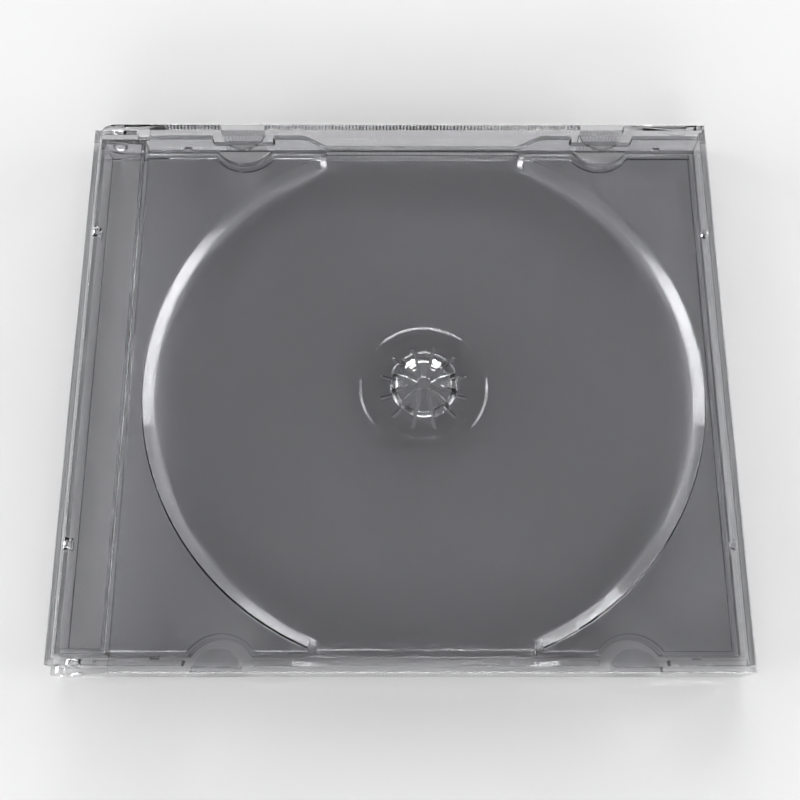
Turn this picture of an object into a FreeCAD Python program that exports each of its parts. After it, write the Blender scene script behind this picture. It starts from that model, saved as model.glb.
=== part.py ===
import FreeCAD, Part
import os
import re
import Sketcher

# A clear jewel case for one 120 mm disc: a lid that swings on a base, and a tray in the base.
# X runs from the hinge to the opening side, Y along the hinge, Z up.
# The origin is under the middle of the case.

# Driving sizes, in millimetres unless a note says otherwise.
SIZES = [
    ("case_width", 142.0, "outside, from the hinge side to the opening side"),
    ("case_depth", 125.0, "outside, along the hinge"),
    ("case_height", 10.2, "outside, closed"),
    ("lid_plate", 1.2, "thickness of the lid's face"),
    ("lid_wall", 1.3, "thickness of the lid's long walls"),
    ("lid_foot", 0.4, "lower edge of the lid's walls above the table"),
    ("edge_round", 0.4, "rounding of the lid's outer edges"),
    ("hinge_strip", 12.8, "width beside the hinge that the lid's face leaves open"),
    ("pivot_inset", 5.0, "hinge axis from the hinge side"),
    ("pin_radius", 1.6, "hinge pin"),
    ("pin_reach", 1.75, "hinge pin beyond the arm's inner face"),
    ("pin_lead", 0.35, "lead-in chamfer of the hinge pin"),
    ("pin_clearance", 0.05, "radial room of the pin in its hole"),
    ("tab_radius", 5.1, "half-moon booklet tab"),
    ("tab_thickness", 0.9, "half-moon booklet tab"),
    ("tab_pitch", 84.0, "between the two tabs of one wall"),
    ("booklet_room", 2.0, "between the lid's face and the tabs"),
    ("rib_pitch", 0.8, "grip ribs along the lid's walls"),
    ("rib_groove", 0.5, "width of the groove between two ribs"),
    ("rib_depth", 0.18, "depth of the groove between two ribs"),
    ("rib_start", 3.2, "ribs from the lid's edge beside the hinge"),
    ("rib_end", 18.5, "ribs from the opening side"),
    ("thumb_inset", 4.0, "thumb relief from the opening side"),
    ("thumb_length", 13.0, "thumb relief along the wall"),
    ("thumb_height", 3.4, "thumb relief at its high end"),
    ("thumb_depth", 0.3, "thumb relief into the wall"),
    ("base_plate", 1.2, "thickness of the base's floor"),
    ("spine_wall", 1.2, "thickness of the two walls across the case"),
    ("spine_drop", 0.3, "hinge-side wall below the top of the case"),
    ("lid_rest", 0.2, "opening-side wall below the lid's face"),
    ("rail_wall", 1.2, "thickness of the base's low rails"),
    ("rail_height", 7.4, "top of the rails above the table"),
    ("swing_gap", 0.3, "rails to the lid's walls"),
    ("ear_width", 9.6, "hinge ear at the end of each rail"),
    ("bay_sill", 2.7, "top of the rails and ledges in the finger bays"),
    ("bay_ramp", 5.0, "length over which a rail drops to the bay"),
    ("ramp_round", 3.0, "rounding at both ends of a ramp"),
    ("snap_radius", 1.2, "round bumps that hold the tray, at the wall"),
    ("snap_crown", 0.6, "round bumps that hold the tray, at their flat top"),
    ("snap_reach", 0.9, "round bumps that hold the tray, out from the wall"),
    ("snap_pitch", 72.0, "between the two bumps of one wall"),
    ("snap_gap", 0.1, "bump to the tray"),
    ("tray_wall", 1.0, "sheet thickness of the tray"),
    ("tray_seat", 0.05, "tray's feet to the base's floor"),
    ("tray_gap", 0.3, "tray to the walls across the case"),
    ("tray_side_gap", 1.0, "tray to the rails"),
    ("strip_drop", 0.6, "top of the tray's strip below the top of the case"),
    ("strip_gap", 0.9, "strip to the lid's edge"),
    ("strip_round", 0.5, "rounding of the strip's upper edges"),
    ("rim_height", 4.6, "tray's rim above the table"),
    ("rim_round", 0.3, "rounding of the recess edge"),
    ("recess_floor", 2.3, "floor of the disc recess above the table"),
    ("recess_inset", 2.9, "floor of the recess inside the long sides of the case"),
    ("rim_margin", 2.6, "rim left beside the recess, at the strip and at the opening side"),
    ("recess_flare", 2.1, "how much wider the recess is at the rim"),
    ("finger_bay", 45.2, "length of the finger bays"),
    ("bay_bite", 6.9, "finger bay, in from the edge of the recess floor"),
    ("bay_cheek", 1.5, "thickness of the walls that close a finger bay"),
    ("ledge_depth", 1.6, "ledge along the finger bay"),
    ("ledge_pitch", 1.0, "grooves across the ledge"),
    ("ledge_groove", 0.5, "width of a groove across the ledge"),
    ("ledge_cut", 0.25, "depth of a groove across the ledge"),
    ("lug_length", 1.8, "square lugs on the tray's long edges"),
    ("lug_reach", 0.7, "square lugs out from the tray's long edges"),
    ("lug_inset", 9.0, "square lugs from the strip and from the tray's edge"),
    ("notch_room", 2.3, "tray notch round a booklet tab"),
    ("seat_inner", 11.5, "seat ring under the disc, inner radius"),
    ("seat_outer", 14.4, "seat ring under the disc, outer radius"),
    ("seat_height", 0.7, "seat ring above the recess floor"),
    ("seat_slope", 0.6, "sloping flank of the seat ring"),
    ("seat_skirt", 1.6, "recess floor round the seat ring that is made with the hub"),
    ("hub_radius", 7.4, "neck of the hub, inside a 15 mm disc bore"),
    ("hub_lip", 0.2, "bead that holds the disc down"),
    ("hub_neck", 2.0, "straight neck above the recess floor"),
    ("hub_crown", 0.7, "bead to the top of the hub"),
    ("hub_wall", 1.2, "wall of the hollow hub"),
    ("hub_cap", 0.9, "thickness of the fingers' tops"),
    ("hub_eye", 1.5, "star-shaped eye between the fingers, radius"),
    ("post_reach", 4.6, "short fingers end this far from the axis"),
    ("post_tip", 0.95, "rounded end of a short finger, radius"),
    ("bar_width", 1.2, "long fingers near the axis"),
    ("slot_width", 0.9, "slots between the fingers"),
    ("slot_reach", 9.9, "outer end of the slots, radius"),
    ("finger_count", 12, "fingers round the hub, a count"),
]

# Places worked out from the sizes, in the order in which they build on each other.
PLACES = [
    ("half_width", "case_width / 2"),
    ("half_depth", "case_depth / 2"),
    ("lid_under", "case_height - lid_plate"),
    ("lid_left", "hinge_strip - half_width"),
    ("lid_inside", "half_depth - lid_wall"),
    ("rib_left", "lid_left + rib_start"),
    ("rib_count", "floor((half_width - rib_end - rib_left) / rib_pitch)"),
    ("thumb_right", "half_width - thumb_inset"),
    ("pivot_x", "pivot_inset - half_width"),
    ("pivot_z", "case_height / 2"),
    ("arm_radius", "pivot_z - lid_foot"),
    ("tab_top", "lid_under - booklet_room"),
    ("tab_low", "tab_top - tab_thickness"),
    ("base_half", "lid_inside - swing_gap"),
    ("spine_left", "spine_wall - half_width"),
    ("spine_right", "half_width - spine_wall"),
    ("left_top", "case_height - spine_drop"),
    ("right_top", "lid_under - lid_rest"),
    ("ear_right", "pivot_x + ear_width / 2"),
    ("notch_radius", "tab_radius + notch_room"),
    ("snap_height", "rim_height + snap_gap + snap_radius"),
    ("tray_foot", "base_plate + tray_seat"),
    ("tray_half", "base_half - rail_wall - tray_side_gap"),
    ("tray_left", "spine_left + tray_gap"),
    ("tray_right", "spine_right - tray_gap"),
    ("strip_right", "lid_left - strip_gap"),
    ("strip_top", "case_height - strip_drop"),
    ("disc_x", "(strip_right + tray_right) / 2"),
    ("radius_by_depth", "half_depth - recess_inset"),
    ("radius_by_width", "tray_right - disc_x - rim_margin - recess_flare"),
    ("recess_radius", "min(radius_by_depth; radius_by_width)"),
    ("rim_radius", "recess_radius + recess_flare"),
    ("recess_under", "recess_floor - tray_wall"),
    ("rim_under", "rim_height - tray_wall"),
    ("bay_left", "disc_x - finger_bay / 2"),
    ("bay_right", "disc_x + finger_bay / 2"),
    ("bay_inner", "recess_radius - bay_bite"),
    ("ledge_count", "floor(finger_bay / ledge_pitch) - 1"),
    ("ledge_start", "disc_x - (ledge_count - 1) * ledge_pitch / 2"),
    ("field_radius", "seat_outer + seat_skirt"),
    ("neck_top", "recess_floor + hub_neck"),
    ("bead_radius", "hub_radius + hub_lip"),
    ("bead_height", "neck_top + 2 * hub_lip"),
    ("hub_top", "bead_height + hub_crown"),
    ("hub_bore", "hub_radius - hub_wall"),
    ("slot_angle", "180 / finger_count"),
]
SIZE_NAMES = {alias for alias, _, _ in SIZES}
PLACE_NAMES = {name for name, _ in PLACES}

doc = FreeCAD.newDocument("jewel_case")
sheet = doc.addObject("Spreadsheet::Sheet", "Sizes")
places = doc.addObject("App::VarSet", "Places")


def bound(text):
    """Turns the plain names in a formula into references to the sheet and the places."""
    def reference(match):
        word = match.group()
        if word in SIZE_NAMES:
            return "Sizes." + word
        return "Places." + word if word in PLACE_NAMES else word
    return re.sub(r"[a-z_]+", reference, text)


def fill_sizes():
    """Writes the driving sizes into the sheet and binds the places to them."""
    for row, (alias, value, note) in enumerate(SIZES, 1):
        sheet.set(f"A{row}", alias)
        sheet.set(f"B{row}", str(value))
        sheet.setAlias(f"B{row}", alias)
        sheet.set(f"C{row}", note)
    doc.recompute()
    for name, formula in PLACES:
        places.addProperty("App::PropertyFloat", name, "Places", formula)
        places.setExpression(name, bound(formula))
    doc.recompute()


def new_body(label):
    """Adds the body of one moulded piece."""
    body = doc.addObject("PartDesign::Body", label)
    body.Label = label
    return body


def datum(body, role):
    """Finds one of a body's own origin planes or axes."""
    return next(item for item in body.Origin.OriginFeatures if item.Role == role)


def sketch_on(body, name, role, along_x="0", along_y="0", height="0", turn="0"):
    """Adds a sketch on an origin plane, shifted in the plane's directions and turned about its normal."""
    sketch = body.newObject("Sketcher::SketchObject", name)
    sketch.AttachmentSupport = [(datum(body, role), "")]
    sketch.MapMode = "FlatFace"
    sketch.setExpression("AttachmentOffset.Base.x", bound(along_x))
    sketch.setExpression("AttachmentOffset.Base.y", bound(along_y))
    sketch.setExpression("AttachmentOffset.Base.z", bound(height))
    sketch.setExpression("AttachmentOffset.Rotation.Angle", bound(turn))
    return sketch


def dimension(sketch, kind, geometry, point, formula, start):
    """Binds one coordinate of a point to a formula."""
    index = sketch.addConstraint(Sketcher.Constraint(kind, -1, 1, geometry, point, start))
    name = f"size{index}"
    sketch.renameConstraint(index, name)
    sketch.setExpression(f"Constraints.{name}", bound(formula))


def pin_point(sketch, geometry, point, x, y, start):
    """Binds both coordinates of a point to formulas."""
    dimension(sketch, "DistanceX", geometry, point, x, start.x)
    dimension(sketch, "DistanceY", geometry, point, y, start.y)


def size_radius(sketch, geometry, formula, start):
    """Binds the radius of a circle or arc to a formula."""
    index = sketch.addConstraint(Sketcher.Constraint("Radius", geometry, start))
    name = f"size{index}"
    sketch.renameConstraint(index, name)
    sketch.setExpression(f"Constraints.{name}", bound(formula))


def outline(sketch, corners):
    """Draws a closed outline through corners that are given as pairs of formulas."""
    count = len(corners)
    turn = FreeCAD.Rotation(FreeCAD.Vector(0, 0, 1), 360 / count)
    starts = [FreeCAD.Vector(1, 0, 0)]
    for _ in corners[1:]:
        starts.append(turn.multVec(starts[-1]))
    first = sketch.GeometryCount
    for index in range(count):
        sketch.addGeometry(Part.LineSegment(starts[index], starts[(index + 1) % count]))
    for index in range(count):
        following = first + (index + 1) % count
        sketch.addConstraint(Sketcher.Constraint("Coincident", first + index, 2, following, 1))
    for index, (x, y) in enumerate(corners):
        pin_point(sketch, first + index, 1, x, y, starts[index])


def disc(sketch, x, y, radius):
    """Draws a circle whose centre and radius are formulas."""
    centre = FreeCAD.Vector(1, 1, 0)
    circle = sketch.addGeometry(Part.Circle(centre, FreeCAD.Vector(0, 0, 1), 1.0))
    pin_point(sketch, circle, 3, x, y, centre)
    size_radius(sketch, circle, radius, 1.0)


def half_moon(sketch, x, y, radius, up):
    """Draws a half disc on a chord through its centre, bulging up or down."""
    centre = FreeCAD.Vector(1, 1, 0)
    reach = FreeCAD.Vector(1 if up else -1, 0, 0)
    sign = "+" if up else "-"
    back = "-" if up else "+"
    crown = centre + FreeCAD.Vector(0, reach.x, 0)
    arc = sketch.addGeometry(Part.Arc(centre + reach, crown, centre - reach))
    chord = sketch.addGeometry(Part.LineSegment(centre - reach, centre + reach))
    sketch.addConstraint(Sketcher.Constraint("Coincident", arc, 2, chord, 1))
    sketch.addConstraint(Sketcher.Constraint("Coincident", chord, 2, arc, 1))
    pin_point(sketch, arc, 1, f"{x} {sign} ({radius})", y, centre + reach)
    pin_point(sketch, arc, 2, f"{x} {back} ({radius})", y, centre - reach)
    dimension(sketch, "DistanceY", arc, 3, y, centre.y)


def round_slot(sketch, start, end, half):
    """Draws a slot along the sketch's own X with one square and one round end."""
    low, high = FreeCAD.Vector(0, -1, 0), FreeCAD.Vector(0, 1, 0)
    along = FreeCAD.Vector(3, 0, 0)
    lower = sketch.addGeometry(Part.LineSegment(low, along + low))
    tip = sketch.addGeometry(Part.Arc(along + low, along + FreeCAD.Vector(1, 0, 0), along + high))
    upper = sketch.addGeometry(Part.LineSegment(along + high, high))
    butt = sketch.addGeometry(Part.LineSegment(high, low))
    for before, after in ((lower, tip), (tip, upper), (upper, butt), (butt, lower)):
        sketch.addConstraint(Sketcher.Constraint("Coincident", before, 2, after, 1))
    pin_point(sketch, lower, 1, start, f"-({half})", low)
    pin_point(sketch, upper, 2, start, half, high)
    pin_point(sketch, lower, 2, end, f"-({half})", along + low)
    pin_point(sketch, upper, 1, end, half, along + high)
    dimension(sketch, "DistanceX", tip, 3, end, along.x)


def extrude(body, kind, name, sketch, length, flip=False, both=False):
    """Pads or pockets a sketch by a formula, to one side or evenly to both."""
    feature = body.newObject(f"PartDesign::{kind}", name)
    feature.Profile = sketch
    feature.SideType = "Symmetric" if both else "One side"
    feature.Reversed = flip
    feature.setExpression("Length", bound(length))
    body.Tip = feature
    doc.recompute()
    return feature


def turn_round(body, kind, name, sketch):
    """Revolves a sketch about its own vertical axis, to add or to cut."""
    feature = body.newObject(f"PartDesign::{kind}", name)
    feature.Profile = sketch
    feature.ReferenceAxis = (sketch, ["V_Axis"])
    body.Tip = feature
    doc.recompute()
    return feature


def mirror(body, name, originals):
    """Repeats features on the other side of the case's middle plane."""
    feature = body.newObject("PartDesign::Mirrored", name)
    feature.Originals = originals
    feature.MirrorPlane = (datum(body, "XZ_Plane"), [""])
    body.Tip = feature
    doc.recompute()
    return feature


def ring_of(body, name, original, sketch, count):
    """Repeats a feature evenly round the axis of its sketch."""
    feature = body.newObject("PartDesign::PolarPattern", name)
    feature.Originals = [original]
    feature.Axis = (sketch, ["N_Axis"])
    feature.Angle = 360
    feature.setExpression("Occurrences", bound(count))
    body.Tip = feature
    doc.recompute()
    return feature


def row_of(body, name, original, sketch, pitch, count):
    """Repeats a feature at even steps along its sketch's own X."""
    feature = body.newObject("PartDesign::LinearPattern", name)
    feature.Originals = [original]
    feature.Direction = (sketch, ["H_Axis"])
    feature.setExpression("Length", bound(f"({count} - 1) * {pitch}"))
    feature.setExpression("Occurrences", bound(count))
    body.Tip = feature
    doc.recompute()
    return feature


def join(body, name, other):
    """Fuses another body into this one."""
    feature = body.newObject("PartDesign::Boolean", name)
    feature.Type = "Fuse"
    feature.setObjects([other])
    body.Tip = feature
    doc.recompute()
    return feature


def soften(body, kind, name, radius, keep):
    """Rounds or chamfers the edges of the body so far that a test picks."""
    base = body.Tip
    picked = [f"Edge{index}" for index, edge in enumerate(base.Shape.Edges, 1) if keep(edge)]
    if not picked:
        raise RuntimeError(f"{name} finds no edge")
    feature = body.newObject(f"PartDesign::{kind}", name)
    feature.Base = (base, picked)
    feature.setExpression("Radius" if kind == "Fillet" else "Size", bound(radius))
    body.Tip = feature
    doc.recompute()
    return feature


def near(value, target):
    """Says whether two lengths agree."""
    return abs(value - target) < 1e-4


def edge_lies(edge, **at):
    """Says whether all of an edge lies at the given coordinates, such as x=1.5."""
    box = edge.BoundBox
    limits = {"x": (box.XMin, box.XMax), "y": (box.YMin, box.YMax), "z": (box.ZMin, box.ZMax)}
    return all(near(limit, value) for axis, value in at.items() for limit in limits[axis])


def is_circle(edge, radius, height):
    """Says whether an edge is part of a level circle of this radius at this height."""
    if edge.Curve.TypeId != "Part::GeomCircle" or not edge_lies(edge, z=height):
        return False
    return near(edge.Curve.Radius, radius)


def tab_spots():
    """Gives the formulas of the four booklet tabs' centres, on the lid's outer faces."""
    for side in ("-", ""):
        for end in ("-", "+"):
            yield f"disc_x {end} tab_pitch / 2", f"{side}half_depth"


def make_lid():
    """Makes the lid: a shallow channel with two hinge arms, their pins and four booklet tabs."""
    body = new_body("front_cover")
    channel = sketch_on(body, "lid_section", "YZ_Plane", height="lid_left")
    outline(channel, [
        ("-half_depth", "lid_foot"), ("-lid_inside", "lid_foot"),
        ("-lid_inside", "lid_under"), ("lid_inside", "lid_under"),
        ("lid_inside", "lid_foot"), ("half_depth", "lid_foot"),
        ("half_depth", "case_height"), ("-half_depth", "case_height"),
    ])
    extrude(body, "Pad", "lid_channel", channel, "half_width - lid_left")
    soften(body, "Fillet", "lid_edges", "edge_round", is_lid_edge)

    arm = sketch_on(body, "arm_outline", "XZ_Plane", height="half_depth")
    outline(arm, [
        ("pivot_x", "lid_foot"), ("lid_left", "lid_foot"),
        ("lid_left", "case_height - lid_foot"), ("pivot_x", "case_height - lid_foot"),
    ])
    bar = extrude(body, "Pad", "arm_bar", arm, "lid_wall", flip=True)
    knuckle = sketch_on(body, "knuckle_outline", "XZ_Plane", height="half_depth")
    disc(knuckle, "pivot_x", "pivot_z", "arm_radius")
    eye = extrude(body, "Pad", "arm_knuckle", knuckle, "lid_wall", flip=True)
    pin = sketch_on(body, "pin_outline", "XZ_Plane", height="lid_inside")
    disc(pin, "pivot_x", "pivot_z", "pin_radius")
    stub = extrude(body, "Pad", "hinge_pin", pin, "pin_reach", flip=True)
    mirror(body, "other_arm", [bar, eye, stub])
    soften(body, "Chamfer", "pin_leads", "pin_lead", is_pin_tip)

    tabs = sketch_on(body, "tab_outlines", "XY_Plane", height="tab_low")
    for x, y in tab_spots():
        half_moon(tabs, x, y, "tab_radius", up=y.startswith("-"))
    extrude(body, "Pad", "booklet_tabs", tabs, "tab_thickness")
    windows = sketch_on(body, "window_outlines", "XZ_Plane")
    for x, _ in list(tab_spots())[:2]:
        left, right = f"{x} - tab_radius", f"{x} + tab_radius"
        top, foot = "lid_under", "tab_top"
        outline(windows, [(left, foot), (right, foot), (right, top), (left, top)])
    extrude(body, "Pocket", "tab_windows", windows, "2 * case_depth", both=True)
    add_grip(body)
    return body


def add_grip(body):
    """Cuts the fine upright ribs and the thumb reliefs into the outside of the lid's walls."""
    relief = sketch_on(body, "thumb_outline", "XZ_Plane", height="half_depth")
    outline(relief, [
        ("thumb_right - thumb_length", "lid_under"), ("thumb_right", "lid_under - thumb_height"),
        ("thumb_right", "lid_under"),
    ])
    thumb = extrude(body, "Pocket", "thumb_relief", relief, "thumb_depth")
    mirror(body, "other_thumb_relief", [thumb])
    grooves = sketch_on(body, "groove_outlines", "XY_Plane", height="lid_under")
    for side in ("-", ""):
        outline(grooves, [
            ("rib_left", f"{side}half_depth"), ("rib_left + rib_groove", f"{side}half_depth"),
            ("rib_left + rib_groove / 2", f"{side}(half_depth - rib_depth)"),
        ])
    groove = extrude(body, "Pocket", "rib_groove_pair", grooves, "lid_under")
    row_of(body, "rib_grooves", groove, grooves, "rib_pitch", "rib_count")


def is_lid_edge(edge):
    """Picks the outer edges of the lid's face and its two corners at the opening side."""
    top = places.lid_under + sheet.lid_plate
    sides = [edge_lies(edge, y=side, z=top) for side in (-places.half_depth, places.half_depth)]
    right = places.half_width
    corners = [edge_lies(edge, x=right, y=side) for side in (-places.half_depth, places.half_depth)]
    return any(sides) or any(corners) or edge_lies(edge, x=right, z=top)


def is_pin_tip(edge):
    """Picks the rim at the tip of each hinge pin."""
    tip = places.lid_inside - sheet.pin_reach
    return any(edge_lies(edge, y=side) for side in (-tip, tip))


def make_base():
    """Makes the base: a floor between two spine walls, with low rails, hinge ears and snap bumps."""
    body = new_body("back_cover")
    section = sketch_on(body, "base_section", "XZ_Plane")
    outline(section, [
        ("-half_width", "0"), ("half_width", "0"),
        ("half_width", "right_top"), ("spine_right", "right_top"),
        ("spine_right", "base_plate"), ("spine_left", "base_plate"),
        ("spine_left", "left_top"), ("-half_width", "left_top"),
    ])
    extrude(body, "Pad", "floor_and_spines", section, "2 * base_half", both=True)

    rail = sketch_on(body, "rail_outline", "XZ_Plane", height="base_half")
    outline(rail, [
        ("-half_width", "0"), ("half_width", "0"), ("half_width", "rail_height"),
        ("bay_right + bay_ramp", "rail_height"), ("bay_right", "bay_sill"),
        ("bay_left", "bay_sill"), ("bay_left - bay_ramp", "rail_height"),
        ("ear_right", "rail_height"), ("ear_right", "left_top"), ("-half_width", "left_top"),
    ])
    side = extrude(body, "Pad", "rail", rail, "rail_wall", flip=True)
    mirror(body, "other_rail", [side])
    soften(body, "Fillet", "ramps", "ramp_round", is_ramp_edge)

    holes = sketch_on(body, "pin_holes", "XZ_Plane")
    disc(holes, "pivot_x", "pivot_z", "pin_radius + pin_clearance")
    extrude(body, "Pocket", "ear_holes", holes, "2 * case_depth", both=True)
    notches = sketch_on(body, "rail_notch_outlines", "XY_Plane", height="rim_height")
    for x, y in tab_spots():
        disc(notches, x, y, "notch_radius")
    extrude(body, "Pocket", "rail_notches", notches, "case_height", flip=True)

    for wall, inward in (("spine_left", 90), ("spine_right", -90)):
        for end in ("-", ""):
            bump = body.newObject("PartDesign::AdditiveCone", "snap_bump")
            bump.Placement.Rotation = FreeCAD.Rotation(FreeCAD.Vector(0, 1, 0), inward)
            bump.setExpression("Radius1", bound("snap_radius"))
            bump.setExpression("Radius2", bound("snap_crown"))
            bump.setExpression("Height", bound("snap_reach"))
            bump.setExpression("Placement.Base.x", bound(wall))
            bump.setExpression("Placement.Base.y", bound(f"{end}snap_pitch / 2"))
            bump.setExpression("Placement.Base.z", bound("snap_height"))
            body.Tip = bump
            doc.recompute()
    return body


def is_ramp_edge(edge):
    """Picks the edges across the rails at the upper and lower end of each ramp."""
    upper = (places.bay_left - sheet.bay_ramp, places.bay_right + sheet.bay_ramp)
    lower = (places.bay_left, places.bay_right)
    at_top = [edge_lies(edge, x=x, z=sheet.rail_height) for x in upper]
    at_sill = [edge_lies(edge, x=x, z=sheet.bay_sill) for x in lower]
    return any(at_top) or any(at_sill)


def make_tray():
    """Makes the tray: one sheet with a raised strip, a dished recess, notched edges and a slotted hub."""
    body = new_body("disc_tray")
    section = sketch_on(body, "tray_section", "XZ_Plane")
    outline(section, [
        ("tray_left", "tray_foot"), ("tray_left", "strip_top"),
        ("strip_right", "strip_top"), ("strip_right", "rim_height"),
        ("tray_right", "rim_height"), ("tray_right", "tray_foot"),
        ("tray_right - tray_wall", "tray_foot"), ("tray_right - tray_wall", "rim_under"),
        ("strip_right - tray_wall", "rim_under"), ("strip_right - tray_wall", "strip_top - tray_wall"),
        ("tray_left + tray_wall", "strip_top - tray_wall"), ("tray_left + tray_wall", "tray_foot"),
    ])
    extrude(body, "Pad", "strip_and_rim", section, "2 * tray_half", both=True)
    end = sketch_on(body, "end_outline", "XZ_Plane", height="tray_half")
    outline(end, [
        ("tray_left", "tray_foot"), ("tray_right", "tray_foot"), ("tray_right", "rim_height"),
        ("strip_right", "rim_height"), ("strip_right", "strip_top"), ("tray_left", "strip_top"),
    ])
    wall = extrude(body, "Pad", "end_wall", end, "tray_wall", flip=True)
    mirror(body, "other_end", [wall])
    soften(body, "Fillet", "strip_edges", "strip_round", is_strip_edge)
    add_recess(body)
    add_bays(body)
    join(body, "tray_and_hub", make_hub())
    catches = sketch_on(body, "catch_outlines", "YZ_Plane", height="tray_left")
    for end_sign in ("-", ""):
        disc(catches, f"{end_sign}snap_pitch / 2", "snap_height", "snap_radius + snap_gap")
    extrude(body, "Pocket", "strip_catches", catches, "tray_wall", flip=True)
    add_ledge_grooves(body)
    return body


def is_strip_edge(edge):
    """Picks the two long upper edges of the strip."""
    return any(edge_lies(edge, x=x, z=places.strip_top) for x in (places.tray_left, places.strip_right))


def add_recess(body):
    """Dishes the tray for the disc and walls the notches that clear the booklet tabs."""
    dish = sketch_on(body, "dish_section", "XZ_Plane", along_x="disc_x")
    outline(dish, [
        ("field_radius", "recess_under"), ("recess_radius + tray_wall / 2", "recess_under"),
        ("rim_radius + tray_wall / 2", "rim_under"), ("rim_radius + tray_wall / 2", "rim_height"),
        ("field_radius", "rim_height"),
    ])
    turn_round(body, "Revolution", "dish", dish)
    cheeks = sketch_on(body, "notch_walls", "XY_Plane", height="tray_foot")
    for x, y in tab_spots():
        half_moon(cheeks, x, y, "notch_radius + tray_wall", up=y.startswith("-"))
    extrude(body, "Pad", "notch_cheeks", cheeks, "rim_height - tray_foot")
    blocks = sketch_on(body, "bay_walls", "XY_Plane", height="recess_under")
    for side in ("-", ""):
        outline(blocks, [
            ("bay_left - bay_cheek", f"{side}bay_inner"), ("bay_right + bay_cheek", f"{side}bay_inner"),
            ("bay_right + bay_cheek", f"{side}tray_half"), ("bay_left - bay_cheek", f"{side}tray_half"),
        ])
    extrude(body, "Pad", "bay_blocks", blocks, "rim_height - recess_under")
    trim = sketch_on(body, "trim_outlines", "XY_Plane")
    for side in ("-", ""):
        outline(trim, [
            ("-half_width", f"{side}tray_half"), ("half_width", f"{side}tray_half"),
            ("half_width", f"{side}case_depth"), ("-half_width", f"{side}case_depth"),
        ])
    extrude(body, "Pocket", "trimmed_edges", trim, "2 * case_height", both=True)
    hollow = sketch_on(body, "recess_section", "XZ_Plane", along_x="disc_x")
    outline(hollow, [
        ("0", "recess_floor"), ("recess_radius", "recess_floor"),
        ("rim_radius", "rim_height"), ("0", "rim_height"),
    ])
    turn_round(body, "Groove", "recess", hollow)
    soften(body, "Fillet", "recess_edges", "rim_round", is_recess_edge)
    notches = sketch_on(body, "tray_notch_outlines", "XY_Plane")
    for x, y in tab_spots():
        disc(notches, x, y, "notch_radius")
    extrude(body, "Pocket", "tray_notches", notches, "2 * case_height", both=True)


def is_recess_edge(edge):
    """Picks the upper edge of the recess."""
    return is_circle(edge, places.rim_radius, sheet.rim_height)


def add_bays(body):
    """Opens a finger bay in each long edge, leaves a low ledge along it and adds the edge's square lugs."""
    bays = sketch_on(body, "bay_outlines", "XY_Plane", height="recess_floor")
    for side in ("-", ""):
        inner = f"{side}bay_inner"
        outline(bays, [
            ("bay_left", inner), ("bay_right", inner),
            ("bay_right", f"{side}case_depth"), ("bay_left", f"{side}case_depth"),
        ])
    extrude(body, "Pocket", "finger_bays", bays, "case_height", flip=True)
    ledge = sketch_on(body, "ledge_section", "YZ_Plane", height="bay_left")
    outline(ledge, [
        ("tray_half", "tray_foot"), ("tray_half", "bay_sill"),
        ("tray_half - ledge_depth + bay_sill - recess_floor", "bay_sill"),
        ("tray_half - ledge_depth", "recess_floor"), ("tray_half - ledge_depth", "recess_under"),
        ("tray_half - tray_wall", "recess_under"), ("tray_half - tray_wall", "tray_foot"),
    ])
    sill = extrude(body, "Pad", "bay_ledge", ledge, "finger_bay")
    mirror(body, "other_ledge", [sill])
    lugs = sketch_on(body, "lug_outlines", "XY_Plane", height="rim_under")
    for middle in ("strip_right + lug_inset", "tray_right - lug_inset"):
        left, right = f"{middle} - lug_length / 2", f"{middle} + lug_length / 2"
        for side in ("-", ""):
            root, tip = f"{side}(tray_half - tray_wall)", f"{side}(tray_half + lug_reach)"
            outline(lugs, [(left, root), (right, root), (right, tip), (left, tip)])
    extrude(body, "Pad", "edge_lugs", lugs, "tray_wall")


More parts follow.
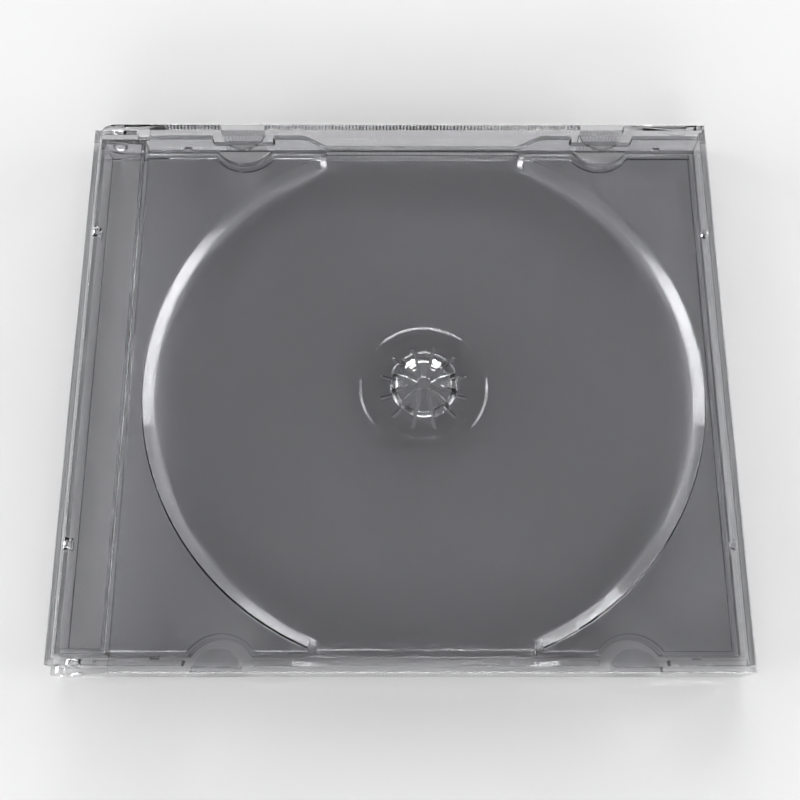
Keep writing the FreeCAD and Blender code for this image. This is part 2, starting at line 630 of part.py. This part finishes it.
def make_hub():
    """Makes the middle of the tray: the seat ring and the hollow hub, cut into long and short fingers."""
    body = new_body("hub_field")
    cup = sketch_on(body, "hub_section", "XZ_Plane", along_x="disc_x")
    outline(cup, [
        ("hub_bore", "recess_under"), ("field_radius", "recess_under"), ("field_radius", "recess_floor"),
        ("seat_outer", "recess_floor"), ("seat_outer - seat_slope", "recess_floor + seat_height"),
        ("seat_inner + seat_slope", "recess_floor + seat_height"), ("seat_inner", "recess_floor"),
        ("hub_radius", "recess_floor"), ("hub_radius", "neck_top"), ("bead_radius", "neck_top + hub_lip"),
        ("bead_radius", "bead_height"), ("bead_radius - hub_crown", "hub_top"), ("0", "hub_top"),
        ("0", "hub_top - hub_cap"), ("hub_bore", "hub_top - hub_cap"),
    ])
    turn_round(body, "Revolution", "hub_and_seat", cup)
    wedge = sketch_on(body, "wedge_outline", "XY_Plane", along_x="disc_x", height="hub_top")
    spread = "post_reach * tan(slot_angle * 1 deg)"
    outline(wedge, [("hub_eye", "0"), ("post_reach", f"-{spread}"), ("post_reach", spread)])
    opening = extrude(body, "Pocket", "finger_wedge", wedge, "hub_cap")
    ring_of(body, "finger_wedges", opening, wedge, "finger_count / 2")
    tip = sketch_on(body, "post_outline", "XY_Plane", along_x="disc_x", height="hub_top - hub_cap")
    disc(tip, "post_reach", "0", "post_tip")
    post = extrude(body, "Pad", "short_finger", tip, "hub_cap")
    ring_of(body, "short_fingers", post, tip, "finger_count / 2")
    slot = sketch_on(body, "slot_outline", "XY_Plane", along_x="disc_x", height="hub_top", turn="slot_angle")
    round_slot(slot, "hub_eye / 2", "slot_reach - slot_width / 2", "slot_width / 2")
    cut = extrude(body, "Pocket", "finger_slot", slot, "hub_top - recess_under")
    ring_of(body, "finger_slots", cut, slot, "finger_count")
    level = "hub_top - hub_cap"
    bar = sketch_on(body, "bar_outline", "XY_Plane", along_x="disc_x", height=level, turn="2 * slot_angle")
    outline(bar, [
        ("hub_eye / 2", "-bar_width / 2"), ("hub_bore", "-bar_width / 2"),
        ("hub_bore", "bar_width / 2"), ("hub_eye / 2", "bar_width / 2"),
    ])
    spoke = extrude(body, "Pad", "long_finger", bar, "hub_cap")
    ring_of(body, "long_fingers", spoke, bar, "finger_count / 2")
    eye = sketch_on(body, "eye_outline", "XY_Plane", along_x="disc_x", height="hub_top")
    disc(eye, "0", "0", "hub_eye")
    extrude(body, "Pocket", "hub_eye_hole", eye, "hub_cap")
    return body


def add_ledge_grooves(body):
    """Cuts fine grooves across the ledges of both finger bays."""
    grooves = sketch_on(body, "ledge_groove_outlines", "XY_Plane", height="bay_sill")
    left, right = "ledge_start - ledge_groove / 2", "ledge_start + ledge_groove / 2"
    for side in ("-", ""):
        root, edge = f"{side}(tray_half - ledge_depth)", f"{side}tray_half"
        outline(grooves, [(left, root), (right, root), (right, edge), (left, edge)])
    groove = extrude(body, "Pocket", "ledge_groove_pair", grooves, "ledge_cut")
    row_of(body, "ledge_grooves", groove, grooves, "ledge_pitch", "ledge_count")


def check_model(bodies):
    """Stops if any object of the document failed or a piece isn't one sound solid."""
    for item in doc.Objects:
        if any(state in ("Invalid", "Error") for state in item.State):
            raise RuntimeError(f"{item.Name} failed: {item.State}")
    for body in bodies:
        shape = body.Shape
        if shape.isNull() or not shape.isClosed() or len(shape.Solids) != 1:
            raise RuntimeError(f"{body.Label} isn't one sound solid")


def write_parts(bodies):
    """Writes each piece to its own file and prints its volume."""
    os.makedirs("parts", exist_ok=True)
    for body in bodies:
        body.Shape.exportStep(f"parts/{body.Label}.step")
        print(f"{body.Label}: {body.Shape.Volume:.1f} mm3")


fill_sizes()
PIECES = [make_base(), make_tray(), make_lid()]
doc.recompute()
check_model(PIECES)
write_parts(PIECES)
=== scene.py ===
"""Dresses a clear jewel case: a lid, a base and a disc tray of polished polystyrene, on a pale table."""

import logging
import math
from dataclasses import dataclass, field
from enum import Enum

import bmesh
import bpy
from mathutils import Euler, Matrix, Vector

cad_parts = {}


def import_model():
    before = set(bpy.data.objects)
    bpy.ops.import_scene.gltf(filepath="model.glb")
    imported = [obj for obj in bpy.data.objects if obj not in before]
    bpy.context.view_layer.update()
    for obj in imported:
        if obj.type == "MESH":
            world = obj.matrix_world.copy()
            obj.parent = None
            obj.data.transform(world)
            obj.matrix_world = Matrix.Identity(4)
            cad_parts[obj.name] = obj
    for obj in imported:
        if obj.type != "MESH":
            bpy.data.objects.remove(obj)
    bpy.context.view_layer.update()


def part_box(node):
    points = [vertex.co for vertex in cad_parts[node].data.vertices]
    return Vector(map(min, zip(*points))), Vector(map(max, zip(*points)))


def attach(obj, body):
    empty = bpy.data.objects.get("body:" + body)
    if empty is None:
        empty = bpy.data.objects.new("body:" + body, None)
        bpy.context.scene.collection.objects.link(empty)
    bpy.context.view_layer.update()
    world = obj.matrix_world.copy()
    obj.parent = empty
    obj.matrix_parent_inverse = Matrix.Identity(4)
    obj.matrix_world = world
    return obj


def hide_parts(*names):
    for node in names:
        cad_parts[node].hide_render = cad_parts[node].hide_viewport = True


MM = 0.001
log = logging.getLogger("jewel_case")


class Side(Enum):
    """The sides of the case that a low strip lamp stands on, as directions on the table."""

    HINGE = (-1.0, 0.0)
    OPENING = (1.0, 0.0)
    NEAR = (0.0, -1.0)
    FAR = (0.0, 1.0)


class Skin(Enum):
    """The two skins of a moulding, by the slot of its finish: polished sheets whose grey tint is a
    painted shade, and milky walls, broken edges and hub that are a painted highlight.
    """

    POLISHED = 0
    DRAWN = 1


def linear(hex_colour: str) -> tuple[float, float, float, float]:
    """Turns an sRGB hex colour into the linear values that a shader takes.

    Args:
        hex_colour: The colour as six hex digits after a hash.

    Returns:
        Red, green, blue and an alpha of one.
    """
    parts = [int(hex_colour[start:start + 2], 16) / 255 for start in (1, 3, 5)]
    red, green, blue = (c / 12.92 if c <= 0.04045 else ((c + 0.055) / 1.055) ** 2.4 for c in parts)
    return red, green, blue, 1.0


def add_node(tree: bpy.types.NodeTree, kind: str, **inputs: object) -> bpy.types.Node:
    """Adds a node and sets or links its inputs.

    Args:
        tree: The node tree that takes the node.
        kind: The node's type, such as ShaderNodeBsdfPrincipled.
        **inputs: Values or output sockets by input name, with underscores for blanks.

    Returns:
        The new node.
    """
    node = tree.nodes.new(kind)
    for name, value in inputs.items():
        socket = node.inputs[name.replace("_", " ")]
        if isinstance(value, bpy.types.NodeSocket):
            tree.links.new(value, socket)
        else:
            socket.default_value = value
    return node


def new_material(name: str) -> tuple[bpy.types.Material, bpy.types.Node]:
    """Makes an empty material.

    Args:
        name: The material's name.

    Returns:
        The material and its output node.
    """
    material = bpy.data.materials.new(name)
    material.use_nodes = True
    material.node_tree.nodes.clear()
    return material, add_node(material.node_tree, "ShaderNodeOutputMaterial")


@dataclass(frozen=True)
class ClearPolystyrene:
    """General purpose polystyrene, injection moulded in a polished tool and left uncoloured.

    The eye sees glass-like sheets with sharp reflections, faint patches of haze where hands have
    rubbed them, and a barely waved surface where the melt flowed.

    Attributes:
        name: The material's name.
        tint: The colour that light takes on its way through.
        clearness: The share of light that goes through and isn't scattered at the surface; the scattered
            share is milky and lightens a face as a painted highlight.
        ior: The refractive index.
        gloss: The roughness of the surface as it left the tool.
        haze: The roughness where hands have rubbed it.
        haze_size: How far apart the rubbed patches are.
        haze_detail: How many finer layers the patches have.
        haze_grain: How strong the finer layers are.
        haze_reach: The noise levels at which a patch starts and is full.
        wave_size: How far apart the waves of the melt are.
        wave_detail: How many finer layers the waves have.
        wave_depth: How deep the waves are.
    """

    name: str
    # The default grey-white tint darkens what is seen through the sheets: a painted shade, on top of a
    # faint real coolness.
    tint: str = "#F5F5F6"
    clearness: float = 1.0
    ior: float = 1.59
    gloss: float = 0.03
    haze: float = 0.07
    haze_size: float = 9.0 * MM
    haze_detail: float = 4.0
    haze_grain: float = 0.6
    haze_reach: tuple[float, float] = (0.35, 0.75)
    wave_size: float = 24.0 * MM
    wave_detail: float = 1.0
    wave_depth: float = 0.012 * MM

    def material(self) -> bpy.types.Material:
        """Makes the finish as a material.

        Returns:
            The material, with its noise on Object coordinates.
        """
        material, output = new_material(self.name)
        tree = material.node_tree
        place = add_node(tree, "ShaderNodeTexCoord").outputs["Object"]
        handling = add_node(tree, "ShaderNodeTexNoise", Vector=place, Scale=1 / self.haze_size,
                            Detail=self.haze_detail, Roughness=self.haze_grain)
        start, full = self.haze_reach
        rub = add_node(tree, "ShaderNodeMapRange", Value=handling.outputs["Fac"],
                       From_Min=start, From_Max=full, To_Min=self.gloss, To_Max=self.haze)
        flow = add_node(tree, "ShaderNodeTexNoise", Vector=place, Scale=1 / self.wave_size,
                        Detail=self.wave_detail)
        waved = add_node(tree, "ShaderNodeBump", Height=flow.outputs["Fac"], Strength=1.0,
                         Distance=self.wave_depth)
        shader = add_node(tree, "ShaderNodeBsdfPrincipled", Base_Color=linear(self.tint), IOR=self.ior,
                          Transmission_Weight=self.clearness, Roughness=rub.outputs["Result"],
                          Normal=waved.outputs["Normal"])
        tree.links.new(shader.outputs["BSDF"], output.inputs["Surface"])
        return material


# Wide faces that leave the polished tool square on: clear as glass, with mirror-like reflections. Their
# faintly cool grey tint is partly the plastic's own coolness and partly a painted shade that darkens the
# case's inside.
PAINTED_SHADE_SHEET = ClearPolystyrene("clear polystyrene, polished sheet")

# Walls that slide along the tool, broken edges and the hub: duller, and milky lavender-white, a painted
# highlight that makes them lighter than the clear sheets.
PAINTED_HIGHLIGHT_WALL = ClearPolystyrene("clear polystyrene, drawn wall", tint="#E6E6FA", clearness=0.55,
                              gloss=0.12, haze=0.3)


@dataclass
class Moulding:
    """One moulded piece of the case, drawn from its own solid with its edges broken by the tool.

    Attributes:
        node: The solid's name in the frame.
        body: The moving body that the piece belongs to.
        steep: The upward part of a face's normal below which the face is a wall.
        edge_round: The size of a broken edge.
        edge_steps: How many strips a broken edge has.
        least_face: The width of the narrowest face that an edge is broken beside.
        merge_reach: The distance within which the mesh's points are one.
        sharp_angle: The turn between two faces from which their edge is sharp.
        flat_angle: The turn between two faces up to which they are one plane.
        highest: The solid's corner with the largest coordinates.
    """

    node: str
    body: str
    steep: float = 0.4
    edge_round: float = 0.15 * MM
    edge_steps: int = 2
    least_face: float = 0.4 * MM
    merge_reach: float = 0.001 * MM
    sharp_angle: float = math.radians(28)
    flat_angle: float = math.radians(0.2)
    highest: Vector = field(init=False, default_factory=Vector)

    def build(self) -> bpy.types.Object:
        """Copies the solid's mesh, merges it, breaks its sharp edges and gives each face its skin.

        Returns:
            The finished piece, at the origin.
        """
        self.highest = Vector(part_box(self.node)[1])
        mesh = bpy.data.meshes.new(f"{self.node}_moulding")
        form = bmesh.new()
        form.from_mesh(bpy.data.objects[self.node].data)
        bmesh.ops.remove_doubles(form, verts=form.verts, dist=self.merge_reach)
        bmesh.ops.dissolve_limit(form, angle_limit=self.flat_angle, verts=form.verts, edges=form.edges)
        self.shape(form)
        corners = [edge for edge in form.edges if self.is_broken(edge)]
        roundings = bmesh.ops.bevel(form, geom=corners, offset=self.edge_round, segments=self.edge_steps,
                                    profile=0.5, affect="EDGES", material=-1)["faces"]
        for face in form.faces:
            face.smooth = True
            face.material_index = self.skin_of(face).value
        # The broken edges take the milky skin, a painted highlight along every edge.
        for face in roundings:
            face.material_index = Skin.DRAWN.value
        form.to_mesh(mesh)
        form.free()
        mesh.set_sharp_from_angle(angle=self.sharp_angle)
        piece = bpy.data.objects.new(f"{self.node}_moulding", mesh)
        bpy.context.scene.collection.objects.link(piece)
        flats = piece.modifiers.new("flat faces stay flat", "WEIGHTED_NORMAL")
        flats.keep_sharp = True
        return piece

    def shape(self, form: bmesh.types.BMesh) -> None:
        """Leaves the solid's form as it is."""

    def is_broken(self, edge: bmesh.types.BMEdge) -> bool:
        """Picks the sharp edges between faces that are wide enough for a rounding.

        Args:
            edge: An edge of the merged solid.

        Returns:
            Whether the edge gets a rounding.
        """
        if not edge.is_manifold or edge.calc_face_angle() < self.sharp_angle:
            return False
        foot = edge.verts[0].co
        along = (edge.verts[1].co - foot).normalized()
        for face in edge.link_faces:
            spans = [(vert.co - foot).cross(along).length for vert in face.verts]
            if max(spans) < self.least_face:
                return False
        return True

    def skin_of(self, face: bmesh.types.BMFace) -> Skin:
        """Tells the walls, which take the milky painted highlight, from the polished sheets, which take
        the grey painted shade.

        Args:
            face: A face of the piece.

        Returns:
            The skin that the face gets.
        """
        return Skin.DRAWN if abs(face.normal.z) < self.steep else Skin.POLISHED

    def dress(self, piece: bpy.types.Object, skins: dict[Skin, bpy.types.Material]) -> None:
        """Gives the piece its finish and ties it to the frame.

        Args:
            piece: The piece that build made.
            skins: The finish of each skin.
        """
        piece.data.materials.clear()
        piece.data.materials.append(skins[Skin.POLISHED])
        piece.data.materials.append(skins[Skin.DRAWN])
        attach(piece, self.body)
        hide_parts(self.node)


@dataclass
class Lid(Moulding):
    """The front cover: a thin face with two ribbed walls, hinge arms, pins and booklet tabs.

    Attributes:
        ribbed: How deep into the long walls the edges stay as the solid has them.
    """

    node: str = "front_cover"
    body: str = "lid"
    ribbed: float = 1.5 * MM

    def is_broken(self, edge: bmesh.types.BMEdge) -> bool:
        """Leaves the ribbed outside of the walls as the solid has it.

        Args:
            edge: An edge of the merged solid.

        Returns:
            Whether the edge gets a rounding.
        """
        inside = self.highest.y - self.ribbed
        return super().is_broken(edge) and all(abs(vert.co.y) < inside for vert in edge.verts)


@dataclass
class Base(Moulding):
    """The back cover: a floor between two spine walls, with low rails and hinge ears."""

    node: str = "back_cover"
    body: str = "base"


@dataclass
class Tray(Moulding):
    """The disc tray: a dished sheet with finger bays, a seat ring and a slotted hub.

    Attributes:
        disc_middle: The point of the table under the hub's axis.
        recess_floor: The height of the recess's floor.
        hub_radius: The radius within which a face belongs to the hub.
        foot_top: The height below which edges belong to the feet.
        finger_under: The height below which the hub's edges are out of sight.
        seat_top: The height of the ring that carries the disc.
        seat_edges: The radii of the ring's two upper edges.
        seat_lean: How far the ring's upper edges move towards each other.
        seat_round: The size of the rounding on the ring's upper edges.
        seat_steps: How many strips that rounding has.
        tolerance: How far off a point may lie and still be on an upper edge.
    """

    node: str = "disc_tray"
    body: str = "base"
    disc_middle: Vector = field(default_factory=lambda: Vector((5.2, 0.0, 0.0)) * MM)
    recess_floor: float = 2.3 * MM
    hub_radius: float = 8.0 * MM
    foot_top: float = 1.5 * MM
    finger_under: float = 5.0 * MM
    seat_top: float = 3.0 * MM
    seat_edges: tuple[float, float] = (12.1 * MM, 13.8 * MM)
    seat_lean: float = 0.17 * MM
    seat_round: float = 0.25 * MM
    seat_steps: int = 4
    tolerance: float = 0.05 * MM

    def shape(self, form: bmesh.types.BMesh) -> None:
        """Leans the sides of the ring that carries the disc and rounds its two upper edges.

        Args:
            form: The merged solid.
        """
        crown = [edge for edge in form.edges if all(self.is_seat_corner(vert.co) for vert in edge.verts)]
        crown = [edge for edge in crown if edge.calc_face_angle(0.0) > self.sharp_angle]
        crest = sum(self.seat_edges) / len(self.seat_edges)
        for vert in {vert for edge in crown for vert in edge.verts}:
            outward = (vert.co - self.disc_middle).to_2d().to_3d()
            vert.co -= outward.normalized() * math.copysign(self.seat_lean, outward.length - crest)
        bmesh.ops.bevel(form, geom=crown, offset=self.seat_round, segments=self.seat_steps, profile=0.5,
                        affect="EDGES", material=-1)

    def is_broken(self, edge: bmesh.types.BMEdge) -> bool:
        """Leaves the feet and the undersides of the hub's fingers as the solid has them.

        Args:
            edge: An edge of the merged solid.

        Returns:
            Whether the edge gets a rounding.
        """
        points = [vert.co for vert in edge.verts]
        foot = all(point.z < self.foot_top for point in points)
        hidden = all(self.away(point) < self.hub_radius and point.z < self.finger_under
                     for point in points)
        return super().is_broken(edge) and not foot and not hidden

    def away(self, point: Vector) -> float:
        """Gives a point's distance from the hub's axis."""
        return (point - self.disc_middle).to_2d().length

    def is_seat_corner(self, point: Vector) -> bool:
        """Tells whether a point lies on one of the ring's two upper edges."""
        off = min(abs(self.away(point) - radius) for radius in self.seat_edges)
        return off < self.tolerance and abs(point.z - self.seat_top) < self.tolerance

    def skin_of(self, face: bmesh.types.BMFace) -> Skin:
        """Adds the hub, which takes the milky skin as a painted highlight.

        Args:
            face: A face of the piece.

        Returns:
            The skin that the face gets.
        """
        middle = face.calc_center_bounds()
        if self.away(middle) < self.hub_radius and middle.z > self.recess_floor + self.edge_round:
            return Skin.DRAWN
        return super().skin_of(face)


@dataclass
class Studio:
    """The pale table, the soft lamps and the camera. Lengths are in metres.

    Attributes:
        floor_colour: The colour of the table.
        floor_span: The width of the table.
        floor_drop: How far the table lies under the case, so that their faces don't meet.
        sky_colour: The colour of the surroundings.
        wall_strength: The light of the surroundings near the horizon.
        wall_top: The upward part of the direction at which that light starts to fade.
        ceiling_strength: The light from above, low so that it doesn't veil the clear sheets.
        ceiling_edge: The upward part of the direction from which only the light from above is left.
        strip_away: How far a strip lamp stands from the case.
        strip_height: The height of a strip lamp's middle.
        strip_size: The length and the height of a strip lamp.
        strip_watts: The power of a strip lamp.
        light_bounces: How often light may bounce on its way through the sheets.
        camera_place: Where the camera stands.
        camera_turn: How the camera is turned, in degrees about each axis.
        camera_nearest: The distance from which the camera sees.
        lens_mm: The camera's focal length.
        sensor_mm: The width of the camera's sensor.
    """

    floor_colour: str = "#E9E9E9"
    floor_span: float = 2.0
    floor_drop: float = 0.3 * MM
    sky_colour: str = "#F8F8FA"
    wall_strength: float = 1.05
    wall_top: float = 0.3
    ceiling_strength: float = 0.04
    ceiling_edge: float = 0.65
    strip_away: float = 2.0
    strip_height: float = 0.42
    strip_size: tuple[float, float] = (2.1, 0.6)
    strip_watts: float = 53.0
    light_bounces: int = 24
    camera_place: Vector = field(default_factory=lambda: Vector((-0.8, -83.1, 241.7)) * MM)
    camera_turn: tuple[float, float, float] = (18.55, -0.18, -0.01)
    camera_nearest: float = 0.01
    lens_mm: float = 51.29
    sensor_mm: float = 36.0

    def build(self) -> None:
        """Sets up the floor, the light and the camera."""
        self.lay_floor()
        self.light_sky()
        for side in Side:
            self.stand_strip(side)
        self.place_camera()
        bpy.context.scene.view_settings.view_transform = "Standard"
        # Light passes three sheets down and three up, and the lamps' images in them stay unsoftened.
        cycles = bpy.context.scene.cycles
        cycles.max_bounces = self.light_bounces
        cycles.transmission_bounces = self.light_bounces
        cycles.blur_glossy = 0.0
        cycles.sample_clamp_indirect = 0.0

    def lay_floor(self) -> None:
        """Lays a plain pale floor just under the case."""
        form = bmesh.new()
        bmesh.ops.create_grid(form, x_segments=1, y_segments=1, size=self.floor_span / 2)
        bmesh.ops.translate(form, verts=form.verts, vec=(0, 0, -self.floor_drop))
        mesh = bpy.data.meshes.new("floor")
        form.to_mesh(mesh)
        form.free()
        floor = bpy.data.objects.new("floor", mesh)
        bpy.context.scene.collection.objects.link(floor)
        material, output = new_material("matt pale table")
        tree = material.node_tree
        paint = add_node(tree, "ShaderNodeBsdfDiffuse", Color=linear(self.floor_colour))
        tree.links.new(paint.outputs["BSDF"], output.inputs["Surface"])
        mesh.materials.append(material)

    def light_sky(self) -> None:
        """Fills the surroundings with pale light that is strong at the walls and weak at the ceiling."""
        world = bpy.data.worlds.new("pale surroundings")
        world.use_nodes = True
        tree = world.node_tree
        tree.nodes.clear()
        way = add_node(tree, "ShaderNodeTexCoord").outputs["Generated"]
        height = add_node(tree, "ShaderNodeSeparateXYZ", Vector=way).outputs["Z"]
        level = add_node(tree, "ShaderNodeMapRange", Value=height,
                         From_Min=self.wall_top, From_Max=self.ceiling_edge,
                         To_Min=self.wall_strength, To_Max=self.ceiling_strength)
        sky = add_node(tree, "ShaderNodeBackground", Color=linear(self.sky_colour),
                       Strength=level.outputs["Result"])
        output = add_node(tree, "ShaderNodeOutputWorld")
        tree.links.new(sky.outputs["Background"], output.inputs["Surface"])
        bpy.context.scene.world = world

    def stand_strip(self, side: Side) -> None:
        """Stands a long low strip lamp on one side, which draws bright lines along the edges.

        Args:
            side: The side of the case.
        """
        name = f"{side.name.lower()}_strip"
        light = bpy.data.lights.new(name, "AREA")
        light.shape = "RECTANGLE"
        light.size, light.size_y = self.strip_size
        light.energy = self.strip_watts
        place = Vector((*side.value, 0.0)) * self.strip_away
        place.z = self.strip_height
        holder = bpy.data.objects.new(name, light)
        holder.location = place
        holder.rotation_euler = (-place).to_track_quat("-Z", "Y").to_euler()
        holder.visible_camera = False
        bpy.context.scene.collection.objects.link(holder)

    def place_camera(self) -> None:
        """Puts the camera where the photograph was taken from."""
        data = bpy.data.cameras.new("camera")
        data.lens = self.lens_mm
        data.sensor_width = self.sensor_mm
        data.clip_start = self.camera_nearest
        camera = bpy.data.objects.new("camera", data)
        camera.location = self.camera_place
        camera.rotation_euler = Euler([math.radians(angle) for angle in self.camera_turn])
        bpy.context.scene.collection.objects.link(camera)
        bpy.context.scene.camera = camera


def main() -> None:
    """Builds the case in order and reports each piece."""
    logging.basicConfig(level=logging.INFO, format="%(name)s: %(message)s")
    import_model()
    skins = {Skin.POLISHED: PAINTED_SHADE_SHEET.material(), Skin.DRAWN: PAINTED_HIGHLIGHT_WALL.material()}
    for moulding in (Base(), Tray(), Lid()):
        piece = moulding.build()
        moulding.dress(piece, skins)
        log.info("%s: %d faces", piece.name, len(piece.data.polygons))
    Studio().build()
    bpy.context.view_layer.update()


if __name__ == "__main__":
    main()
